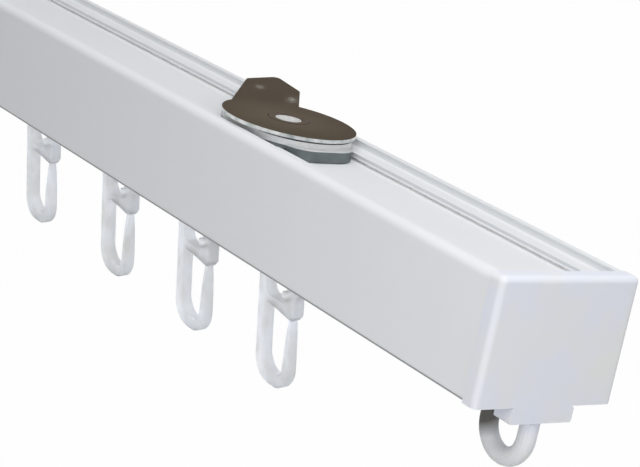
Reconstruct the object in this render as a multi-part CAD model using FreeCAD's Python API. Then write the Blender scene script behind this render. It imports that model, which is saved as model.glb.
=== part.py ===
import FreeCAD, Part
import math
import os

V = FreeCAD.Vector

# Ceiling curtain track: one extruded rail, two push-in end caps, four hook gliders in the
# bottom slot and a turn-lock ceiling clip in the top slot. Millimetres, +Z up, +X along the
# rail. The origin is on the clip's screw axis, where the clip meets the ceiling.

# Rail section
RAIL_WIDTH = 26.0
RAIL_HEIGHT = 20.0
RAIL_LENGTH = 190.0
WALL = 1.2
SHOULDER_RADIUS = 1.5
BOTTOM_RADIUS = 0.8
PROFILE_EDGE = 0.25

# Top slot of the rail: two ridges with a cove inside each, two ledges, and a groove under each
RIDGE = 2.4
REBATE_DEPTH = 1.2
COVE_RADIUS = 0.9
LEDGE_REACH = 3.45
LEDGE = 0.85
LEDGE_EDGE = 0.1
CLIP_CHAMBER = 0.5
GROOVE = 0.8

# Webs, glide channel and glide slot of the rail
FLOOR_WEB = 1.2
LOWER_WEB = 1.2
CHANNEL_HEIGHT = 6.4
BOTTOM_WALL = 1.4
GLIDE_SLOT = 4.4

# End caps
CAP_FLANGE = 2.8
CAP_OVERHANG = 0.25
CAP_EDGE = 1.0
CAP_PLUG = 9.0
CAP_PLUG_LEAD = 0.8
CAP_FIT = 0.15
FOOT_WIDTH = 12.0
FOOT_DROP = 2.6
FOOT_THICK = 3.6
FOOT_EDGE = 0.4
EYE_WIRE = 3.0
EYE_RADIUS = 4.4
EYE_DROP = 3.2
EYE_INSET = 0.5
EYE_SIDES = 18
STOP_MARGIN = 0.8

# Hook gliders, measured down from the axis of the round runner
RUNNER_DIAMETER = 5.6
RUNNER_LENGTH = 12.4
RUNNING_GAP = 0.3
HOOK_WIDTH = 10.3
HOOK_THICK = 2.2
HOOK_LENGTH = 29.5
STEM = 2.45
BEND = 2.4
BEND_RADIUS = 4.4
LOOP_TOP = 14.4
NOSE_REACH = 1.3
NOSE_LENGTH = 15.4
NOSE_CHAMFER = 1.0
NOSE_POST = 2.3
POST_ROUND = 1.1
CROTCH_ROUND = 0.95
TONGUE_ROOT = 2.0
TONGUE_TIP = 0.75
TONGUE_GAP = 0.15
TONGUE_THIN = 1.2
TONGUE_TAPER = 6.0
TONGUE_BEND = 2.2
EYELET_TOP = 9.2
EYELET_BOTTOM = 13.0
NUB_LENGTH = 1.7
NUB_HEIGHT = 1.6
NUB_ROUND = 0.7
HOOK_EDGE = 0.3
HOOK_SWING = 9.4
GLIDER_1_STATION = 24.0
GLIDER_2_STATION = 57.3
GLIDER_3_STATION = 87.2
GLIDER_4_STATION = 115.6

# Ceiling clip
CLIP_TO_RAIL_END = 74.0
LEVER_PLATE = 0.6
LEVER_LONG = 25.4
LEVER_SHORT = 22.4
LEVER_SHIFT = 0.2
ARM_FRONT_ROOT = 9.0
ARM_FRONT_ROOT_Y = -6.5
ARM_HEEL = 28.2
ARM_HEEL_Y = 9.1
ARM_HEEL_RADIUS = 2.4
ARM_TIP = 30.9
ARM_TIP_Y = 17.6
ARM_TIP_RADIUS = 0.9
ARM_SHOULDER = 20.2
ARM_SHOULDER_Y = 15.7
ARM_SHOULDER_RADIUS = 2.8
ARM_BACK_ROOT = 6.5
ARM_BACK_ROOT_Y = 6.4
WASHER_THICK = 0.25
WASHER_DIAMETER = 13.0
PLAY = 0.05
TURN_GAP = 0.15
BASE_PLATE = 1.65
BASE_GAP = 0.25
GUIDE_NOSE = 1.0
GUIDE_ROUND = 4.6
GUIDE_WALL = 5.55
GUIDE_LIFT = 0.15
GUIDE_GAP = 0.4
CAM_GRIP = 0.5
CAM_ENTRY = 0.75
CAM_GAP = 0.08
CAM_BOSS_GAP = 0.95
CAM_TO_GUIDE = 0.4
SLEEVE_DIAMETER = 9.0
RIVET_DIAMETER = 5.2
RIVET_BORE = 4.2
RIVET_RIM = 7.0
RIVET_CURL = 0.4
RIVET_FOOT = 7.4

# Levels and stations that follow from the sizes above
STACK = LEVER_PLATE + PLAY + WASHER_THICK + BASE_PLATE
RAIL_TOP = REBATE_DEPTH - STACK
LEDGE_TOP = RAIL_TOP - REBATE_DEPTH
LEDGE_BOTTOM = LEDGE_TOP - LEDGE
FLOOR_TOP = LEDGE_BOTTOM - CLIP_CHAMBER
FLOOR_BOTTOM = FLOOR_TOP - FLOOR_WEB
RAIL_BOTTOM = RAIL_TOP - RAIL_HEIGHT
CHANNEL_BOTTOM = RAIL_BOTTOM + BOTTOM_WALL
CHANNEL_TOP = CHANNEL_BOTTOM + CHANNEL_HEIGHT
HOLLOW_BOTTOM = CHANNEL_TOP + LOWER_WEB
INNER_WIDTH = RAIL_WIDTH - 2 * WALL
REBATE_WIDTH = RAIL_WIDTH - 2 * RIDGE
SLOT_WIDTH = REBATE_WIDTH - 2 * LEDGE_REACH
GROOVE_BACK = SLOT_WIDTH / 2 + GROOVE
CAM_BOTTOM = FLOOR_TOP + CAM_GAP
CAM_TOP = LEDGE_BOTTOM - CAM_GAP
CAM_RADIUS = SLOT_WIDTH / 2 + CAM_GRIP
CAM_FLAT = SLOT_WIDTH - 2 * CAM_ENTRY
CAM_BOSS_DIAMETER = SLOT_WIDTH - 2 * CAM_BOSS_GAP
GUIDE_INNER = CAM_RADIUS + CAM_TO_GUIDE
GUIDE_REACH = GUIDE_INNER + GUIDE_WALL
BASE_REACH = GUIDE_REACH - GUIDE_NOSE
FOOT_TOP = CAM_BOTTOM + PLAY + RIVET_CURL
RAIL_RIGHT = CLIP_TO_RAIL_END
RAIL_LEFT = RAIL_RIGHT - RAIL_LENGTH
RUNNER_RADIUS = RUNNER_DIAMETER / 2
RUNNER_AXIS = CHANNEL_BOTTOM + math.sqrt((RUNNER_RADIUS + RUNNING_GAP) ** 2 - (GLIDE_SLOT / 2) ** 2)


def rounded_wire(corners, place):
    """Closed wire through (a, b, radius) corners; each radius becomes a tangent arc."""
    flat = [V(a, b, 0) for a, b, r in corners]
    starts = []
    arcs = []
    for i, (a, b, r) in enumerate(corners):
        here = flat[i]
        to_last = (flat[i - 1] - here).normalize()
        to_next = (flat[(i + 1) % len(flat)] - here).normalize()
        if r == 0:
            starts.append((here, here))
            arcs.append(None)
            continue
        half = to_last.getAngle(to_next) / 2
        run = r / math.tan(half)
        bisector = (to_last + to_next).normalize()
        middle = here + bisector * (r / math.sin(half) - r)
        starts.append((here + to_last * run, here + to_next * run))
        arcs.append(middle)
    edges = []
    for i, (enter, leave) in enumerate(starts):
        if arcs[i] is not None:
            edges.append(Part.Arc(place(enter), place(arcs[i]), place(leave)).toShape())
        following = starts[(i + 1) % len(starts)][0]
        if leave.distanceToPoint(following) > 1e-6:
            edges.append(Part.LineSegment(place(leave), place(following)).toShape())
    return Part.Wire(edges)


def across(x):
    """Places a (y, z) sketch in the plane square to the rail at station x."""
    return lambda p: V(x, p.x, p.y)


def level(z):
    """Places an (x, y) sketch in the level plane at height z."""
    return lambda p: V(p.x, p.y, z)


def upright(y):
    """Places an (x, z) sketch in the upright plane along the rail at y."""
    return lambda p: V(p.x, y, p.y)


def prism(corners, place, direction):
    return Part.Face(rounded_wire(corners, place)).extrude(direction)


def rectangle(a0, b0, a1, b1, radius=0):
    return [(a0, b0, radius), (a1, b0, radius), (a1, b1, radius), (a0, b1, radius)]


def tube(outer, inner, z0, z1):
    """Upright ring about the clip's axis."""
    wall = Part.makeCylinder(outer / 2, z1 - z0, V(0, 0, z0))
    return wall.cut(Part.makeCylinder(inner / 2, z1 - z0, V(0, 0, z0)))


def make_rail():
    """One extrusion: a grooved slot for the clip above, a hollow, and the glide channel below."""
    e = PROFILE_EDGE
    outside = [
        (REBATE_WIDTH / 2, RAIL_TOP, e),
        (RAIL_WIDTH / 2, RAIL_TOP, SHOULDER_RADIUS),
        (RAIL_WIDTH / 2, RAIL_BOTTOM, BOTTOM_RADIUS),
        (GLIDE_SLOT / 2, RAIL_BOTTOM, e),
        (GLIDE_SLOT / 2, CHANNEL_BOTTOM, e),
        (INNER_WIDTH / 2, CHANNEL_BOTTOM, e),
        (INNER_WIDTH / 2, CHANNEL_TOP, e),
    ]
    clip_slot = [
        (GROOVE_BACK, FLOOR_TOP, LEDGE_EDGE),
        (GROOVE_BACK, LEDGE_BOTTOM, LEDGE_EDGE),
        (SLOT_WIDTH / 2, LEDGE_BOTTOM, LEDGE_EDGE),
        (SLOT_WIDTH / 2, LEDGE_TOP, LEDGE_EDGE),
        (REBATE_WIDTH / 2, LEDGE_TOP, COVE_RADIUS),
    ]
    hollow = [
        (INNER_WIDTH / 2, HOLLOW_BOTTOM, 0),
        (INNER_WIDTH / 2, LEDGE_BOTTOM, 0),
        (GROOVE_BACK + WALL, LEDGE_BOTTOM, 0),
        (GROOVE_BACK + WALL, FLOOR_BOTTOM, 0),
    ]
    mirrored_outside = [(-y, z, r) for y, z, r in reversed(outside)]
    mirrored_slot = [(-y, z, r) for y, z, r in reversed(clip_slot)]
    mirrored_hollow = [(-y, z, r) for y, z, r in reversed(hollow)]
    section = Part.Face([
        rounded_wire(outside + mirrored_outside + mirrored_slot + clip_slot, across(RAIL_LEFT)),
        rounded_wire(hollow + mirrored_hollow, across(RAIL_LEFT)),
    ])
    section.validate()
    return section.extrude(V(RAIL_LENGTH, 0, 0))


def make_end_cap():
    """Moulding for the right end: flange with foot and hanging eye, and two plugs in the rail."""
    face = RAIL_RIGHT + CAP_FLANGE
    half = RAIL_WIDTH / 2 + CAP_OVERHANG
    foot_half = FOOT_WIDTH / 2
    foot_bottom = RAIL_BOTTOM - FOOT_DROP
    flange = Part.makeBox(CAP_FLANGE, 2 * half, RAIL_HEIGHT, V(RAIL_RIGHT, -half, RAIL_BOTTOM))
    rounded = []
    for edge in flange.Edges:
        box = edge.BoundBox
        on_face = box.XMin > face - 1e-6 and box.ZMax > RAIL_BOTTOM + CAP_EDGE
        on_shoulder = box.XLength > CAP_FLANGE - 1e-6 and box.ZMin > RAIL_TOP - CAP_EDGE
        if on_face or on_shoulder:
            rounded.append(edge)
    flange = flange.makeFillet(CAP_EDGE, rounded)
    foot = prism(
        rectangle(-foot_half, foot_bottom, foot_half, RAIL_BOTTOM - CAP_FIT, FOOT_EDGE),
        across(face - FOOT_THICK),
        V(FOOT_THICK, 0, 0),
    )
    neck = Part.makeBox(
        CAP_FLANGE, FOOT_WIDTH - 2 * FOOT_EDGE, FOOT_DROP + CAP_EDGE,
        V(RAIL_RIGHT, -foot_half + FOOT_EDGE, foot_bottom + FOOT_EDGE),
    )

    hollow_plug = prism(
        rectangle(
            -INNER_WIDTH / 2 + CAP_FIT, HOLLOW_BOTTOM + CAP_FIT,
            INNER_WIDTH / 2 - CAP_FIT, FLOOR_BOTTOM - CAP_FIT,
        ),
        across(RAIL_RIGHT - CAP_PLUG),
        V(CAP_PLUG, 0, 0),
    )
    lead = [edge for edge in hollow_plug.Edges if edge.BoundBox.XMax < RAIL_RIGHT - CAP_PLUG + 1e-6]
    hollow_plug = hollow_plug.makeChamfer(CAP_PLUG_LEAD, lead)

    strand = EYE_WIRE / 2
    near = face - EYE_INSET - strand
    far = near - 2 * EYE_RADIUS
    stop_length = RAIL_RIGHT - far + strand + STOP_MARGIN
    stop = prism(
        rectangle(
            -INNER_WIDTH / 2 + CAP_FIT, CHANNEL_BOTTOM + CAP_FIT,
            INNER_WIDTH / 2 - CAP_FIT, CHANNEL_TOP - CAP_FIT, PROFILE_EDGE,
        ),
        across(RAIL_RIGHT - stop_length),
        V(stop_length, 0, 0),
    )

    eye_centre = foot_bottom - EYE_DROP
    turn = 2 * math.pi / EYE_SIDES
    corners = [
        V(near + strand * math.cos(i * turn), strand * math.sin(i * turn), eye_centre)
        for i in range(EYE_SIDES + 1)
    ]
    near_end = Part.Face(Part.makePolygon(corners))
    far_end = near_end.translated(V(far - near, 0, 0))
    bend = near_end.revolve(V(near - EYE_RADIUS, 0, eye_centre), V(0, 1, 0), 180)
    near_strand = near_end.extrude(V(0, 0, EYE_DROP + FOOT_DROP / 2))
    far_strand = far_end.extrude(V(0, 0, CHANNEL_BOTTOM + BOTTOM_WALL - eye_centre))
    solids = [foot, neck, hollow_plug, stop, bend, near_strand, far_strand]
    return flange.multiFuse(solids).removeSplitter()


def make_glider(stem_x):
    """One-piece moulding: round runner, blade through the slot, eyelet, nose and sprung hook."""
    def down(s):
        return RUNNER_AXIS - s

    nose = HOOK_WIDTH + NOSE_REACH
    tip = NOSE_LENGTH + TONGUE_GAP
    inner_bend = HOOK_LENGTH - BEND
    outline = [
        (0, 0, 0),
        (nose, 0, 0),
        (nose, NOSE_LENGTH - NOSE_CHAMFER, 0),
        (nose - NOSE_CHAMFER, NOSE_LENGTH, 0),
        (nose - NOSE_POST, NOSE_LENGTH, POST_ROUND),
        (STEM, LOOP_TOP, CROTCH_ROUND),
        (STEM, inner_bend, BEND_RADIUS - BEND / 2),
        (HOOK_WIDTH - TONGUE_ROOT, inner_bend, TONGUE_BEND),
        (HOOK_WIDTH - TONGUE_TIP, tip, 0),
        (HOOK_WIDTH, tip, 0),
        (HOOK_WIDTH, HOOK_LENGTH, BEND_RADIUS),
        (0, HOOK_LENGTH, BEND_RADIUS),
    ]
    front = -HOOK_THICK / 2
    through = V(0, HOOK_THICK, 0)

    def sketch(corners):
        return [(stem_x + u, down(s), r) for u, s, r in corners]

    frame = prism(sketch(outline), upright(front), through)
    rims = [
        edge for edge in frame.Edges
        if edge.BoundBox.YLength < 1e-6 and edge.BoundBox.ZMin < RUNNER_AXIS - 1e-6
    ]
    frame = frame.makeChamfer(HOOK_EDGE, rims)
    post = nose - NOSE_POST
    eyelet_radius = (EYELET_BOTTOM - EYELET_TOP) / 2 - PROFILE_EDGE
    eyelet = prism(
        sketch(rectangle(STEM, EYELET_TOP, post, EYELET_BOTTOM, eyelet_radius)),
        upright(front),
        through,
    )
    nub_middle = EYELET_BOTTOM - NUB_HEIGHT
    nub = prism(
        sketch(rectangle(
            post - NUB_LENGTH, nub_middle - NUB_HEIGHT / 2, nose, nub_middle + NUB_HEIGHT / 2,
            NUB_ROUND,
        )),
        upright(front),
        through,
    )
    frame = frame.cut(eyelet.cut(nub))

    taper_end = tip + TONGUE_TAPER
    thin = (HOOK_THICK - TONGUE_THIN) / 2
    for side in (-1, 1):
        face = side * HOOK_THICK / 2
        wedge = Part.Face(Part.makePolygon([
            V(stem_x + HOOK_WIDTH / 2, face, down(tip)),
            V(stem_x + HOOK_WIDTH / 2, face - side * thin, down(tip)),
            V(stem_x + HOOK_WIDTH / 2, face, down(taper_end)),
            V(stem_x + HOOK_WIDTH / 2, face, down(tip)),
        ]))
        frame = frame.cut(wedge.extrude(V(HOOK_WIDTH, 0, 0)))

    runner = Part.makeCylinder(
        RUNNER_RADIUS, RUNNER_LENGTH, V(stem_x + (nose - RUNNER_LENGTH) / 2, 0, RUNNER_AXIS), V(1, 0, 0)
    )
    glider = frame.fuse(runner).removeSplitter()
    glider.rotate(V(0, 0, RUNNER_AXIS), V(1, 0, 0), HOOK_SWING)
    return glider


def make_lever():
    """Pressed oval plate about the screw axis, with the finger arm and a countersunk hole."""
    oval = Part.Ellipse(V(LEVER_SHIFT, 0, -LEVER_PLATE), LEVER_LONG / 2, LEVER_SHORT / 2)
    plate = Part.Face(Part.Wire(oval.toShape())).extrude(V(0, 0, LEVER_PLATE))
    arm = prism(
        [
            (-ARM_FRONT_ROOT, ARM_FRONT_ROOT_Y, 0),
            (-ARM_HEEL, ARM_HEEL_Y, ARM_HEEL_RADIUS),
            (-ARM_TIP, ARM_TIP_Y, ARM_TIP_RADIUS),
            (-ARM_SHOULDER, ARM_SHOULDER_Y, ARM_SHOULDER_RADIUS),
            (-ARM_BACK_ROOT, ARM_BACK_ROOT_Y, 0),
        ],
        level(-LEVER_PLATE),
        V(0, 0, LEVER_PLATE),
    )
    plate = plate.fuse(arm).removeSplitter()
    sink = Part.makeCone(
        RIVET_DIAMETER / 2 + TURN_GAP, RIVET_RIM / 2 + TURN_GAP, LEVER_PLATE, V(0, 0, -LEVER_PLATE)
    )
    return plate.cut(sink)


def make_rivet():
    """Hollow rivet: flared rim flush with the lever's top, shank, and a rolled foot in the cam."""
    radius = RIVET_DIAMETER / 2
    shank = Part.makeCylinder(radius, -LEVER_PLATE - FOOT_TOP, V(0, 0, FOOT_TOP))
    rim = Part.makeCone(radius, RIVET_RIM / 2, LEVER_PLATE, V(0, 0, -LEVER_PLATE))
    foot = Part.makeCylinder(RIVET_FOOT / 2, RIVET_CURL, V(0, 0, FOOT_TOP - RIVET_CURL))
    bore = Part.makeCylinder(RIVET_BORE / 2, STACK + RAIL_HEIGHT, V(0, 0, -RAIL_HEIGHT))
    return shank.multiFuse([rim, foot]).cut(bore).removeSplitter()


def make_cam():
    """Locking cam: a disc with two flats in the grooves, a boss in the slot, and a sleeve."""
    plate = Part.makeCylinder(CAM_RADIUS, CAM_TOP - CAM_BOTTOM, V(0, 0, CAM_BOTTOM))
    plate = plate.common(Part.makeBox(
        CAM_FLAT, 2 * CAM_RADIUS, CAM_TOP - CAM_BOTTOM, V(-CAM_FLAT / 2, -CAM_RADIUS, CAM_BOTTOM)
    ))
    boss_top = LEDGE_TOP - PLAY
    boss = Part.makeCylinder(CAM_BOSS_DIAMETER / 2, boss_top - CAM_TOP, V(0, 0, CAM_TOP))
    sleeve = Part.makeCylinder(SLEEVE_DIAMETER / 2, -LEVER_PLATE - boss_top, V(0, 0, boss_top))
    bore = Part.makeCylinder(RIVET_DIAMETER / 2 + TURN_GAP, RAIL_HEIGHT, V(0, 0, -RAIL_HEIGHT))
    sink = Part.makeCylinder(
        RIVET_FOOT / 2 + TURN_GAP, FOOT_TOP + PLAY - CAM_BOTTOM, V(0, 0, CAM_BOTTOM)
    )
    return plate.multiFuse([boss, sleeve]).cut(bore).cut(sink).removeSplitter()


def make_base():
    """Die-cast base: an oblong plate on the ledges, and two round-nosed guides that fit the slot."""
    half = REBATE_WIDTH / 2 - COVE_RADIUS - BASE_GAP
    bottom = FLOOR_TOP + GUIDE_LIFT
    plate = prism(
        rectangle(-BASE_REACH, -half, BASE_REACH, half, half - PROFILE_EDGE),
        level(LEDGE_TOP),
        V(0, 0, BASE_PLATE),
    )
    guide_half = SLOT_WIDTH / 2 - GUIDE_GAP
    guide = prism(
        [
            (GUIDE_INNER, -guide_half, 0),
            (GUIDE_REACH, -guide_half, GUIDE_ROUND),
            (GUIDE_REACH, guide_half, GUIDE_ROUND),
            (GUIDE_INNER, guide_half, 0),
        ],
        level(bottom),
        V(0, 0, LEDGE_TOP + BASE_PLATE / 2 - bottom),
    )
    other_guide = guide.copy()
    other_guide.rotate(V(0, 0, 0), V(0, 0, 1), 180)
    base = plate.multiFuse([guide, other_guide])
    hole = Part.makeCylinder(SLEEVE_DIAMETER / 2 + TURN_GAP, BASE_PLATE, V(0, 0, LEDGE_TOP))
    return base.cut(hole).removeSplitter()


def make_washer():
    """Spring washer between the base and the lever, round the cam's sleeve."""
    bottom = LEDGE_TOP + BASE_PLATE
    return tube(WASHER_DIAMETER, SLEEVE_DIAMETER + 2 * TURN_GAP, bottom, bottom + WASHER_THICK)


pieces = {
    "track_profile": make_rail(),
    "clip_lever": make_lever(),
    "clip_rivet": make_rivet(),
    "clip_cam": make_cam(),
    "clip_base": make_base(),
    "clip_spring_washer": make_washer(),
}
right_cap = make_end_cap()
left_cap = right_cap.copy()
left_cap.rotate(V((RAIL_LEFT + RAIL_RIGHT) / 2, 0, 0), V(0, 0, 1), 180)
pieces["end_cap_right"] = right_cap
pieces["end_cap_left"] = left_cap
stations = (GLIDER_1_STATION, GLIDER_2_STATION, GLIDER_3_STATION, GLIDER_4_STATION)
for number, station in enumerate(stations, start=1):
    pieces[f"glider_hook_{number}"] = make_glider(RAIL_LEFT + station)

os.makedirs("parts", exist_ok=True)
for node, shape in pieces.items():
    shape.exportStep(f"parts/{node}.step")
    print(node, "valid" if shape.isValid() else "NOT VALID", len(shape.Solids), round(shape.Volume, 1))
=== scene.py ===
import bpy
import math
from mathutils import Matrix, Vector

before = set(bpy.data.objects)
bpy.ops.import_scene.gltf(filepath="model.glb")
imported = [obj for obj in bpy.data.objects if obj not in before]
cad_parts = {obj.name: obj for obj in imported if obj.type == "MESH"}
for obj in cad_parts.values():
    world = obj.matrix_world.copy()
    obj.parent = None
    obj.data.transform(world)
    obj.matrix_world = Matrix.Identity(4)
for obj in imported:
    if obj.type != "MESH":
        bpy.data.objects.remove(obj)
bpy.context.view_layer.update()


# Rail: one length of extruded aluminium with a clip slot above and a glide channel below. It is
# sawn to length and powder-coated satin white, with a faint orange peel over the die's long
# Painted shade greys the slot's walls and darkens the bottom edges; painted light whitens the
# grooves.
class Tone:
    """A shader socket that takes part in arithmetic; each operator adds one Math node."""

    def __init__(self, wiring, socket):
        self.wiring = wiring
        self.socket = socket

    def worked(self, operation, first, second):
        return self.wiring.node("ShaderNodeMath", {"operation": operation}, {0: first, 1: second})

    def __add__(self, other):
        return self.worked("ADD", self, other)

    __radd__ = __add__

    def __sub__(self, other):
        return self.worked("SUBTRACT", self, other)

    def __rsub__(self, other):
        return self.worked("SUBTRACT", other, self)

    def __mul__(self, other):
        return self.worked("MULTIPLY", self, other)

    __rmul__ = __mul__

    def __gt__(self, other):
        return self.worked("GREATER_THAN", self, other)

    def __lt__(self, other):
        return self.worked("LESS_THAN", self, other)


class Wiring:
    """A node tree to which nodes and links are added."""

    def __init__(self, tree):
        self.nodes = tree.nodes
        self.links = tree.links

    def node(self, kind, settings, sockets, output=0):
        """A node of that kind, with its settings made first; gives one of its outputs."""
        made = self.nodes.new(kind)
        for setting, value in settings.items():
            if setting == "stops":
                for element, (position, colour) in zip(made.color_ramp.elements, value):
                    element.position = position
                    element.color = (*colour, 1)
            else:
                setattr(made, setting, value)
        for socket, value in sockets.items():
            self.plug(made.inputs[socket], value)
        return Tone(self, made.outputs[output])

    def plug(self, socket, value):
        if isinstance(value, Tone):
            self.links.new(value.socket, socket)
        else:
            socket.default_value = value


class Finish(Wiring):
    """A material on its Principled shader, with constants set on the shader's own sockets."""

    def __init__(self, name, constants):
        self.material = bpy.data.materials.new(name)
        self.material.use_nodes = True
        super().__init__(self.material.node_tree)
        self.shader = self.nodes["Principled BSDF"]
        for socket, value in constants.items():
            self.shader.inputs[socket].default_value = value

    def feed(self, socket, value):
        self.plug(self.shader.inputs[socket], value)

    def place(self):
        """Object coordinates, in metres."""
        return self.node("ShaderNodeTexCoord", {}, {}, output="Object")

    def facing(self):
        """The way that the surface faces."""
        return self.node("ShaderNodeTexCoord", {}, {}, output="Normal")

    def axis(self, vector, letter):
        return self.node("ShaderNodeSeparateXYZ", {}, {0: vector}, output=letter)

    def unsigned(self, vector):
        return self.node("ShaderNodeVectorMath", {"operation": "ABSOLUTE"}, {0: vector})

    def length(self, vector):
        settings = {"operation": "LENGTH"}
        return self.node("ShaderNodeVectorMath", settings, {0: vector}, output="Value")

    def stretched(self, scale):
        """Object coordinates stretched by a scale for each axis."""
        return self.node("ShaderNodeMapping", {}, {"Vector": self.place(), "Scale": scale})

    def from_pivot(self):
        """Distance from the clip's upright axis, in metres."""
        flat = self.node(
            "ShaderNodeVectorMath", {"operation": "MULTIPLY"}, {0: self.place(), 1: (1, 1, 0)},
        )
        return self.length(flat)

    def noise(self, vector, scale=1.0, detail=2.0):
        return self.node(
            "ShaderNodeTexNoise", {"noise_dimensions": "3D"},
            {"Vector": vector, "Scale": scale, "Detail": detail, "Roughness": 0.55},
        )

    def between(self, amount, low, high):
        """A colour between two, by an amount from 0 to 1."""
        return self.node("ShaderNodeValToRGB", {"stops": ((0.0, low), (1.0, high))}, {0: amount})

    def over(self, mask, below, above):
        """One colour laid over another where the mask is 1."""
        sockets = {0: mask, 6: below, 7: above}
        return self.node("ShaderNodeMix", {"data_type": "RGBA"}, sockets, output=2)

    def bump(self, height, depth):
        """Feeds the normal with a relief of that depth in metres."""
        sockets = {"Height": height, "Distance": depth, "Strength": 1.0}
        self.feed("Normal", self.node("ShaderNodeBump", {}, sockets))

    def on(self, *nodes):
        """Puts the material on whole CAD nodes."""
        for name in nodes:
            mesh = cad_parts[name].data
            mesh.materials.clear()
            mesh.materials.append(self.material)


powder_coat = Finish("powder_coat_white", {"Specular IOR Level": 0.32})
die_lines = powder_coat.noise(powder_coat.stretched((1.5, 900, 900)))
orange_peel = powder_coat.noise(powder_coat.place(), scale=1500)
coat_cloud = powder_coat.noise(powder_coat.place(), scale=45, detail=3.0)
full_coat = powder_coat.between(coat_cloud, (0.80, 0.815, 0.835), (0.84, 0.85, 0.865))
# Painted shade: a greyer coat on the slot's steep walls.
slot_shade_coat = powder_coat.between(coat_cloud, (0.64, 0.66, 0.675), (0.70, 0.72, 0.735))
# Painted light: the grooves under the ledges get a whiter coat than the rest.
painted_light_coat = (0.95, 0.955, 0.96, 1)
# Painted shade: a dark line along the rail's bottom edges.
rail_underside_shade = (0.34, 0.345, 0.36, 1)

depth = powder_coat.axis(powder_coat.place(), "Z")
from_middle = powder_coat.axis(powder_coat.unsigned(powder_coat.place()), "Y")
sideways = powder_coat.axis(powder_coat.unsigned(powder_coat.facing()), "Y")
slot_bottom, slot_half_width, wall_steepness = -0.0052, 0.0109, 0.6
groove_top, groove_bottom, groove_lip = -0.0031, -0.0044, 0.0068
edge_top, edge_half_width = -0.0208, 0.0121
in_slot = from_middle < slot_half_width
shaded_wall_mask = (sideways > wall_steepness) * (depth > slot_bottom) * in_slot
under_ledge = (depth < groove_top) * (depth > groove_bottom)
painted_light_mask = under_ledge * (from_middle > groove_lip) * in_slot
underside_shade_mask = (depth < edge_top) * (from_middle > edge_half_width)

coat_with_wall_shade = powder_coat.over(shaded_wall_mask, full_coat, slot_shade_coat)
coat_with_painted_light = powder_coat.over(painted_light_mask, coat_with_wall_shade, painted_light_coat)
powder_coat.feed("Base Color", powder_coat.over(underside_shade_mask, coat_with_painted_light, rail_underside_shade))
powder_coat.feed("Roughness", 0.44 + 0.1 * orange_peel)
powder_coat.bump(orange_peel * 0.7 + die_lines * 0.3, depth=0.000012)
powder_coat.on("track_profile")


# End caps: one white moulding for both ends, pushed into the rail. Smooth plastic with a low
# gloss and the faint unevenness of a moulded wall. Painted shade darkens one strand of the right
# eye.
moulded_white = Finish("moulded_white", {"Specular IOR Level": 0.25, "IOR": 1.5})
wall_sink = moulded_white.noise(moulded_white.place(), scale=110)
mould_grain = moulded_white.noise(moulded_white.place(), scale=3800)
warm_white, cool_white = (0.82, 0.825, 0.82), (0.79, 0.82, 0.91)
clean_white = moulded_white.between(2.2 * wall_sink - 0.6, warm_white, cool_white)

# Painted shade: a dark patch on the right eye's upper strand, where it goes up under the rail.
eye_shade_centre = (0.0654, -0.0010, -0.0258)
eye_shade_colour = (0.12, 0.115, 0.105, 1)
from_eye_shade = moulded_white.node(
    "ShaderNodeVectorMath", {"operation": "DISTANCE"},
    {0: moulded_white.place(), 1: eye_shade_centre}, output="Value",
)
eye_shade_strength = 2.0 - 420 * from_eye_shade  # full within 2.4 mm, gone at 4.8 mm
eye_shade = moulded_white.between(eye_shade_strength, (0, 0, 0), (1, 1, 1))
moulded_white.feed("Base Color", moulded_white.over(eye_shade, clean_white, eye_shade_colour))
moulded_white.feed("Roughness", 0.56 + 0.08 * mould_grain)
moulded_white.bump(wall_sink * 0.85 + mould_grain * 0.15, depth=0.00003)
moulded_white.on("end_cap_right", "end_cap_left")


# Hook gliders: one-piece mouldings in a milky, see-through plastic with cloudy flow marks. They
# run in the rail's channel and hang from their round runners.
milky_plastic = Finish("milky_plastic", {
    "Specular IOR Level": 0.35,
    "IOR": 1.3,
    "Transmission Weight": 0.9,
})
flow = milky_plastic.noise(milky_plastic.stretched((260, 260, 170)))
cloudy, clear = (0.60, 0.60, 0.585), (0.84, 0.87, 0.93)
milky_plastic.feed("Base Color", milky_plastic.between(2.2 * flow - 0.55, cloudy, clear))
milky_plastic.feed("Roughness", 0.55 + 0.14 * flow)
milky_plastic.bump(flow, depth=0.00002)
milky_plastic.on("glider_hook_1", "glider_hook_2", "glider_hook_3", "glider_hook_4")


# Ceiling clip, lever: pressed from steel sheet and bright plated, so it mirrors the room. A
# painted sheen runs from bright near the rivet to dark olive towards the ends, and two painted
# highlights on the arm are also rougher. Painted dark reflections mottle the sheared edge, which
# is rougher, and painted shade darkens the edge of the rivet's hole.
plated_steel = Finish("plated_steel", {"Metallic": 1.0})
upward = plated_steel.axis(plated_steel.facing(), "Z")
skin_steepness = 0.7
top_skin = upward > skin_steepness
skin_wave = plated_steel.noise(plated_steel.place(), scale=130)
shear_marks = plated_steel.noise(plated_steel.stretched((2600, 2600, 300)))
patches = plated_steel.noise(plated_steel.place(), scale=160, detail=3.0)
reflection_mottle = plated_steel.noise(plated_steel.place(), scale=420, detail=3.0)
from_rivet = plated_steel.from_pivot()
# Painted sheen: bright near the rivet, darker and more olive further out, in patches.
painted_sheen_bright, painted_sheen_dark = (0.67, 0.63, 0.57), (0.36, 0.335, 0.265)
painted_sheen_turn = 91 * from_rivet - 0.52 + 0.5 * patches
painted_sheen = plated_steel.between(painted_sheen_turn, painted_sheen_bright, painted_sheen_dark)

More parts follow.
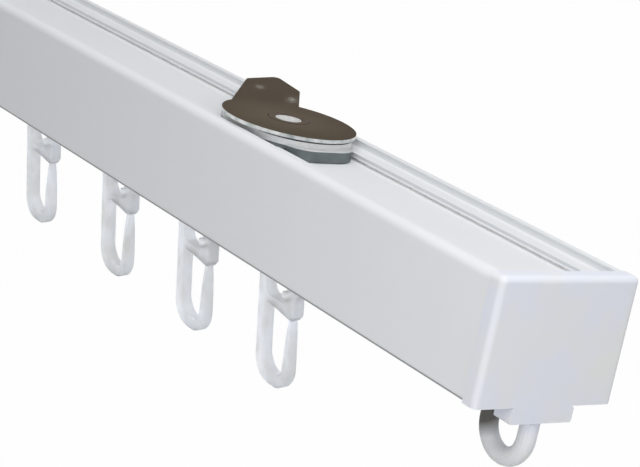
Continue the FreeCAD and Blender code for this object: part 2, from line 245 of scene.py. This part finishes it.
# Painted highlights: two lighter spots on the arm, which are also rougher.
highlight_marks = 0
highlight_turn = (0, 0, math.radians(-37))
for highlight_place, highlight_spread in (
    ((-0.0218, 0.0080, 0), (0.0034, 0.0016, 0.01)),
    ((-0.0135, 0.0096, 0), (0.0050, 0.0017, 0.01)),
):
    in_highlight = plated_steel.node("ShaderNodeMapping", {"vector_type": "TEXTURE"}, {
        "Vector": plated_steel.place(),
        "Location": highlight_place,
        "Rotation": highlight_turn,
        "Scale": highlight_spread,
    })
    one_highlight = plated_steel.node(
        "ShaderNodeMath", {"operation": "MAXIMUM"}, {0: 1 - plated_steel.length(in_highlight), 1: 0.0},
    )
    highlight_marks = one_highlight + highlight_marks
dull_highlights = highlight_marks * (0.4 + 1.1 * reflection_mottle)
highlight_plating = (0.78, 0.80, 0.74, 1)
sheen_with_highlights = plated_steel.over(dull_highlights, painted_sheen, highlight_plating)

# Painted reflections: the sheared edge is mottled with dark reflections.
dark_reflection_edge, bright_edge = (0.36, 0.40, 0.385), (0.82, 0.83, 0.83)
sheared = plated_steel.between(3.2 * reflection_mottle - 1.1, dark_reflection_edge, bright_edge)
# Painted shade: the edge of the rivet's hole in the lever is dark.
hole_reach, flat_top = 0.0045, 0.985
shaded_hole_mask = (from_rivet < hole_reach) * (upward < flat_top)
hole_edge_shade = (0.05, 0.045, 0.04, 1)
plating = plated_steel.over(top_skin, sheared, sheen_with_highlights)
plated_steel.feed("Base Color", plated_steel.over(shaded_hole_mask, plating, hole_edge_shade))
plated_steel.feed("Roughness", 0.3 - 0.22 * top_skin + 0.05 * skin_wave + 0.35 * dull_highlights)
plated_steel.bump(top_skin * skin_wave * 0.5 + (1 - top_skin) * shear_marks * 0.4, depth=0.00004)
plated_steel.on("clip_lever")


# Ceiling clip, rivet: a hollow steel rivet, flared by a press. Its rim is plated with the lever,
# painted shade darkens it where it rolls over, and its bore is bright.
rivet_steel = Finish("rivet_steel", {})
press_marks = rivet_steel.noise(rivet_steel.place(), scale=900)
bore_reach = 0.00225
rim = rivet_steel.from_pivot() > bore_reach
rim_upward = rivet_steel.axis(rivet_steel.facing(), "Z")
# Painted shade: the rim turns dark where it rolls over, away from facing up.
roll_shade, flat_rim = (0.03, 0.027, 0.025), (0.62, 0.58, 0.54)
rim_plating_and_shade = rivet_steel.between(8 * rim_upward - 7, roll_shade, flat_rim)
bright_bore = (0.90, 0.90, 0.89, 1)
rivet_steel.feed("Base Color", rivet_steel.over(rim, bright_bore, rim_plating_and_shade))
rivet_steel.feed("Metallic", 0.25 + 0.75 * rim)
rivet_steel.feed("Roughness", 0.28 - 0.18 * rim + 0.08 * press_marks)
rivet_steel.bump(press_marks, depth=0.00001)
rivet_steel.on("clip_rivet")


# Ceiling clip, base, washer and cam: plain zinc pieces, stacked on the rivet. They are light zinc
# near the top, and painted shade darkens what sits down in the slot, with random patches.
raw_zinc = Finish("raw_zinc", {"Metallic": 0.75})
# Painted shade: below this level the zinc is dark, lighter towards +X and in random patches.
slot_shade_level = -0.00195
above_slot_shade = raw_zinc.axis(raw_zinc.place(), "Z") > slot_shade_level
cast_grain = raw_zinc.noise(raw_zinc.place(), scale=1400, detail=4.0)
dull_patch = raw_zinc.noise(raw_zinc.place(), scale=210)
light_zinc = raw_zinc.between(cast_grain, (0.62, 0.63, 0.63), (0.80, 0.81, 0.81))
end_ward = raw_zinc.axis(raw_zinc.place(), "X")
shade_and_patches = 30 * end_ward - 0.5 + 0.8 * dull_patch + 0.25 * cast_grain
shaded_zinc = raw_zinc.between(shade_and_patches, (0.085, 0.105, 0.105), (0.30, 0.33, 0.33))
raw_zinc.feed("Base Color", raw_zinc.over(above_slot_shade, shaded_zinc, light_zinc))
raw_zinc.feed("Roughness", 0.42 + 0.2 * cast_grain)
raw_zinc.bump(cast_grain, depth=0.00004)
raw_zinc.on("clip_base", "clip_spring_washer", "clip_cam")


# Studio: a pale floor well below the hanging track, a white room that is lighter behind it, and
# soft lamps. A dark card behind the track is there for the lever's mirror.
def seen_rays(wiring):
    """1 for the rays that show a background: to the eye, off metal and through plastic."""
    paths = wiring.node("ShaderNodeLightPath", {}, {}).socket.node.outputs
    to_eye, off_metal, through = (
        Tone(wiring, paths[name])
        for name in ("Is Camera Ray", "Is Glossy Ray", "Is Transmission Ray")
    )
    return to_eye + off_metal + through


bpy.ops.object.select_all(action="DESELECT")
floor_height = -0.16
bpy.ops.mesh.primitive_plane_add(size=6, location=(0, 0, floor_height))
floor = bpy.context.object
floor.name = "studio_floor"
pale_floor = Finish("studio_floor_pale", {"Base Color": (0.5, 0.5, 0.5, 1), "Roughness": 0.9})
white_share = 0.985
white = pale_floor.node("ShaderNodeEmission", {}, {"Color": (1, 1, 1, 1), "Strength": 1.0})
lit = Tone(pale_floor, pale_floor.shader.outputs[0])
floor_mix = pale_floor.node("ShaderNodeMixShader", {}, {
    0: white_share * seen_rays(pale_floor), 1: lit, 2: white,
})
pale_floor.plug(pale_floor.nodes["Material Output"].inputs["Surface"], floor_mix)
floor.data.materials.append(pale_floor.material)

card_place, card_facing = (-0.62, 0.47, 0.33), (0.774, -0.581, 0.0)
bpy.ops.mesh.primitive_plane_add(size=0.6, location=card_place)
card = bpy.context.object
card.name = "dark_card"
card.rotation_euler = Vector(card_facing).to_track_quat("Z", "Y").to_euler()
dark_cloth = Finish("dark_cloth", {"Base Color": (0.335, 0.276, 0.222, 1), "Roughness": 0.9})
card.data.materials.append(dark_cloth.material)
card.visible_camera = False

world = bpy.data.worlds.new("white_room")
bpy.context.scene.world = world
world.use_nodes = True
room = Wiring(world.node_tree)
room_tint, lighter_side = (0.95, 0.97, 1.0, 1), (-0.55, 0.80, 0.25)
dim, bright, shown = (
    room.node("ShaderNodeBackground", {}, {"Color": colour, "Strength": strength})
    for colour, strength in ((room_tint, 0.06), (room_tint, 0.54), ((1, 1, 1, 1), 1.0))
)
lean = room.node(
    "ShaderNodeVectorMath", {"operation": "DOT_PRODUCT"},
    {0: room.node("ShaderNodeTexCoord", {}, {}, output="Generated"), 1: lighter_side},
    output="Value",
)
ambient = room.node("ShaderNodeMixShader", {}, {0: 0.5 + 0.5 * lean, 1: dim, 2: bright})
room_mix = room.node("ShaderNodeMixShader", {}, {0: seen_rays(room), 1: ambient, 2: shown})
room.plug(room.nodes["World Output"].inputs["Surface"], room_mix)

for name, place, aim, side, watts in (
    ("overhead_softbox", (0.22, -0.15, 0.5), (0.05, 0.0, 0.0), 0.7, 2.8),
    ("front_softbox", (0.25, -0.25, 0.04), (0.07, 0.0, -0.01), 0.34, 0.47),
    ("end_softbox", (0.5, -0.10, 0.08), (0.07, 0.0, -0.01), 0.36, 0.19),
    ("rear_softbox", (-0.15, 0.6, 0.04), (0.0, 0.0, -0.01), 0.55, 1.2),
):
    lamp = bpy.data.lights.new(name, "AREA")
    lamp.size = side
    lamp.energy = watts
    lamp_object = bpy.data.objects.new(name, lamp)
    bpy.context.collection.objects.link(lamp_object)
    lamp_object.visible_camera = False
    lamp_object.visible_glossy = False
    lamp_object.location = place
    lamp_object.rotation_euler = (Vector(aim) - Vector(place)).to_track_quat("-Z", "Y").to_euler()


# Camera: at the photograph's place, a long lens slightly above the rail and rolled a little.
lens_mm, sensor_mm = 120.436, 36
camera_data = bpy.data.cameras.new("camera")
camera_data.lens = lens_mm
camera_data.sensor_width = sensor_mm
camera_data.sensor_fit = "HORIZONTAL"
camera_data.clip_start = 0.01
camera = bpy.data.objects.new("camera", camera_data)
bpy.context.collection.objects.link(camera)
camera.matrix_world = Matrix((
    (0.547316, -0.319554, 0.773518, 0.291392),
    (0.813670, -0.013197, -0.581178, -0.207407),
    (0.195926, 0.947476, 0.252789, 0.074738),
    (0, 0, 0, 1),
))
bpy.context.scene.camera = camera
bpy.context.scene.view_settings.view_transform = "Standard"
